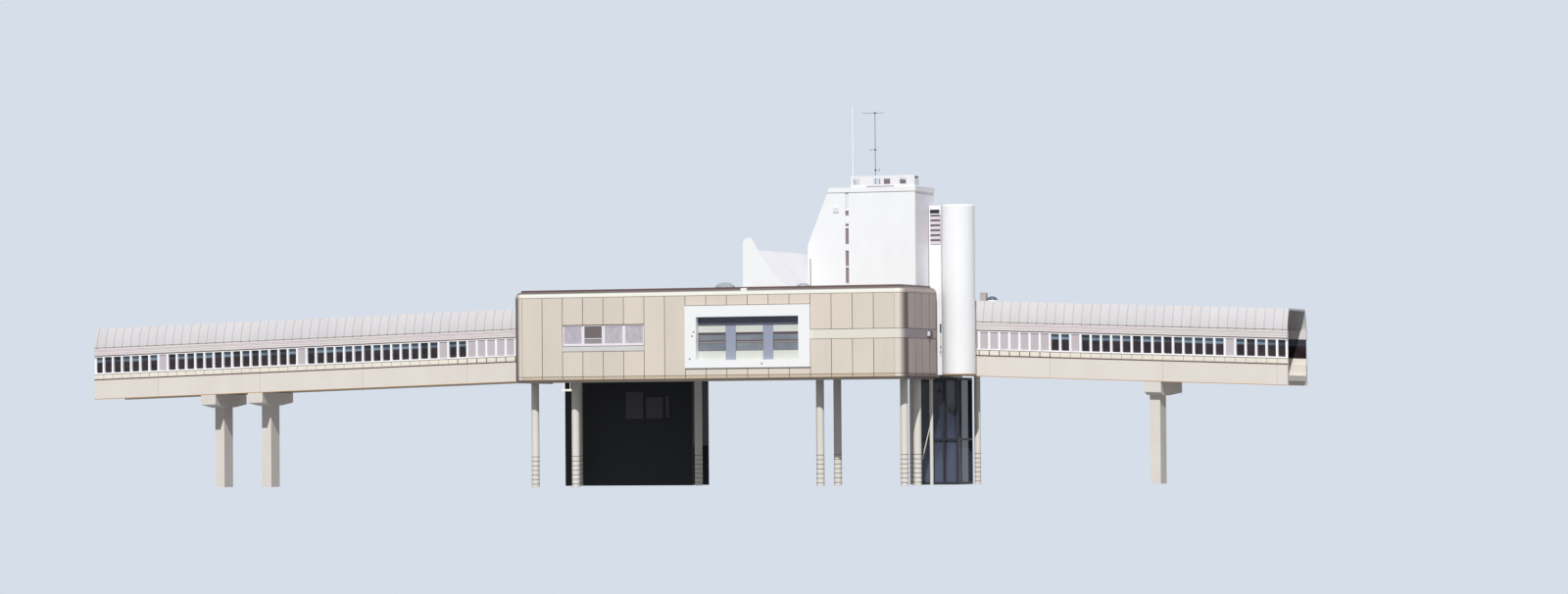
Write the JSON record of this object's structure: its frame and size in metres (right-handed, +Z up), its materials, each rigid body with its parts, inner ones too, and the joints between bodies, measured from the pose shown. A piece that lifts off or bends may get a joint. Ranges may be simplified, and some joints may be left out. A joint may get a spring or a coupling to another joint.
{
  "type": "elevated railway station building, 1:2 scale model",
  "caption": "Station hall on round columns with a slanted tower, a sail rooflight, air shafts and two glazed walkway bridges on hammerhead piers; 1:2 scale model.",
  "frame": {"origin": "middle of the whole building's footprint, on the ground under the columns", "axes": "+X along the front towards the round shaft, +Y from the front to the back, +Z up"},
  "size_m": [37.107, 6.062, 10.685],
  "materials": {
    "cream_cladding": "satin",
    "white_cladding": "satin",
    "roof_edge_white": "satin",
    "dark_cladding": "satin",
    "dark_trim": "satin",
    "grey_frame": "satin",
    "white_frame": "satin",
    "roof_sheet": "satin",
    "galvanised": "matt",
    "pale_board": "matt",
    "pale_sheet": "matt",
    "dark_glass": "clear",
    "concrete": "matt"
  },
  "bodies": {
    "root": {"aerials": "galvanised", "big_window_boards": "pale_board", "big_window_frame": "grey_frame", "big_window_glass": "dark_glass", "big_window_header": "dark_trim", "cooling_units": "grey_frame", "cross_beams": "concrete", "hall_back_wall": "cream_cladding", "hall_columns": "concrete", "hall_corner_panels": "cream_cladding", "hall_end_walls": "cream_cladding", "hall_floor": "concrete", "hall_front_wall": "cream_cladding", "hall_roof": "roof_edge_white", "left_walkway_girder": "concrete", "left_walkway_roof": "roof_sheet", "lobby_frame": "white_frame", "lobby_glass": "dark_glass", "long_beams": "concrete", "louvre_blades": "grey_frame", "louvre_shaft": "white_cladding", "passage_end_walls": "cream_cladding", "ribbon_sills": "pale_board", "ribbon_window_frames": "dark_trim", "ribbon_window_glass": "dark_glass", "right_walkway_girder": "concrete", "right_walkway_roof": "roof_sheet", "roof_domes": "pale_sheet", "roof_edge_trim": "dark_trim", "roof_masts": "galvanised", "roof_screen": "pale_sheet", "roof_vent": "white_cladding", "round_shaft_ends": "white_cladding", "round_shaft_wall": "white_cladding", "sail_fins": "white_cladding", "sail_shell": "white_cladding", "side_band": "cream_cladding", "soffit_lamp": "white_cladding", "stair_enclosure": "dark_cladding", "stair_window_glass": "dark_glass", "tower_back_wall": "white_cladding", "tower_coping": "white_cladding", "tower_front_wall": "white_cladding", "tower_left_wall": "white_cladding", "tower_right_wall": "white_cladding", "tower_roof": "white_cladding", "tower_slot_panes": "dark_glass", "tower_vent": "dark_trim", "walkway_fascias": "roof_sheet", "walkway_glass": "dark_glass", "walkway_opaque_panes": "pale_board", "walkway_piers": "concrete", "walkway_roof_hatch": "grey_frame", "walkway_sills": "pale_board", "walkway_window_frames": "white_frame", "window_surround": "white_cladding"}
  },
  "joints": []
}
